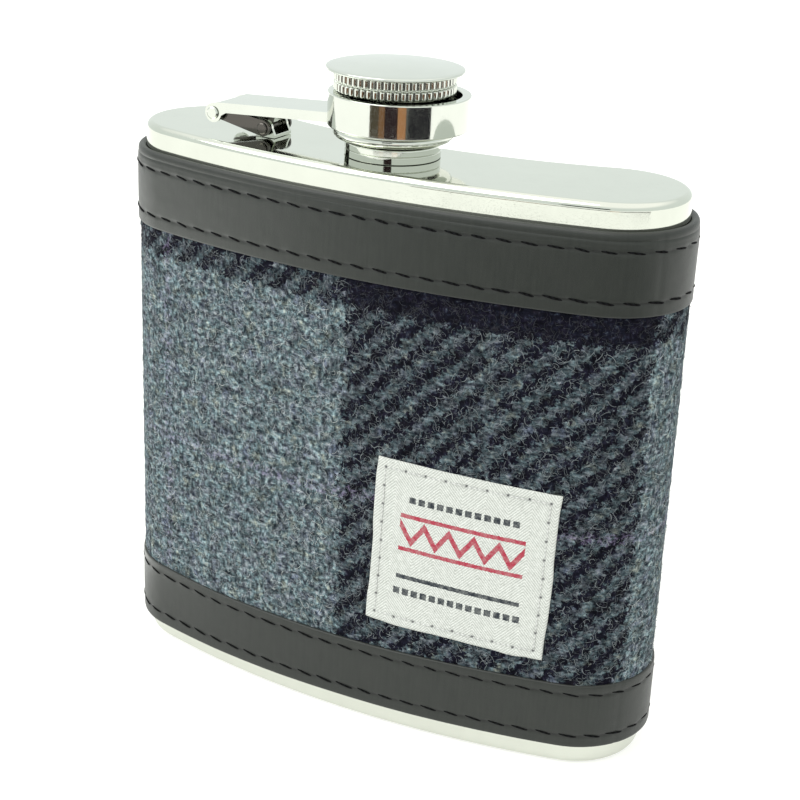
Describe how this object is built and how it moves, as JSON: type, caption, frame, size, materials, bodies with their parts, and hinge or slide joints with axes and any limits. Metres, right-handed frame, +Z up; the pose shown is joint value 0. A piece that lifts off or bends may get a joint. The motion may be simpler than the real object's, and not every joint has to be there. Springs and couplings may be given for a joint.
{
  "type": "hip flask",
  "caption": "Curved steel hip flask with a captive screw cap on a folding arm, in a fabric sleeve with stitched leather bands and a plain woven patch",
  "frame": {"origin": "centre of the bounding box's footprint, on the flat base the flask stands on", "axes": "+X across the width, towards the side away from the hinge; +Y from the convex front to the hollow back; +Z up to the cap"},
  "size_m": [0.0958, 0.031, 0.1044],
  "materials": {
    "polished_steel": "mirror-polished stainless steel",
    "seal_rubber": "matt moulded seal",
    "tweed": "brushed wool twill check in navy and blue-grey",
    "black_leather": "smooth black leather, slight sheen",
    "black_thread": "twisted black thread",
    "white_thread": "fine white thread",
    "woven_patch": "ivory woven ribbon"
  },
  "bodies": {
    "flask": {"base_pan": "polished_steel", "body_shell": "polished_steel", "shoulder_plate": "polished_steel", "neck_tube": "polished_steel", "neck_collar": "polished_steel", "hinge_bracket": "polished_steel", "link_pin": "polished_steel", "tweed_panel": "tweed", "upper_band": "black_leather", "lower_band": "black_leather", "upper_band_top_stitch": "black_thread", "upper_band_edge_stitch": "black_thread", "lower_band_edge_stitch": "black_thread", "lower_band_bottom_stitch": "black_thread", "woven_label": "woven_patch", "label_stitch": "white_thread"},
    "link": {"hinge_link": "polished_steel"},
    "rivet": {"arm_rivet": "polished_steel"},
    "arm": {"swing_arm": "polished_steel", "captive_ring": "polished_steel"},
    "cap": {"cap_head": "polished_steel", "cap_core": "polished_steel", "cap_gasket": "seal_rubber"}
  },
  "joints": [
    {"name": "cap_turn", "type": "hinge", "parent": "arm", "child": "cap", "pos_m": [0, -0.00181, 0.0932], "axis": [0, 0, 1], "range_deg": [0, 540]},
    {"name": "cap_rise", "type": "slide", "parent": "flask", "child": "rivet", "axis": [0, 0, 1], "range_m": [0, 0.003]},
    {"name": "arm_swing", "type": "hinge", "parent": "rivet", "child": "arm", "pos_m": [-0.0298, -0.00181, 0.0937], "axis": [0, -1, 0], "range_deg": [0, 175]},
    {"name": "link_lift", "type": "hinge", "parent": "flask", "child": "link", "pos_m": [-0.0213, -0.00181, 0.0922], "axis": [0, 1, 0], "range_deg": [0, 17.9]}
  ],
  "couplings": [
    {"joint": "cap_rise", "follows": "cap_turn", "m_per_rad": 0.00031831},
    {"joint": "link_lift", "follows": "cap_turn", "ratio": 0.033128}
  ]
}
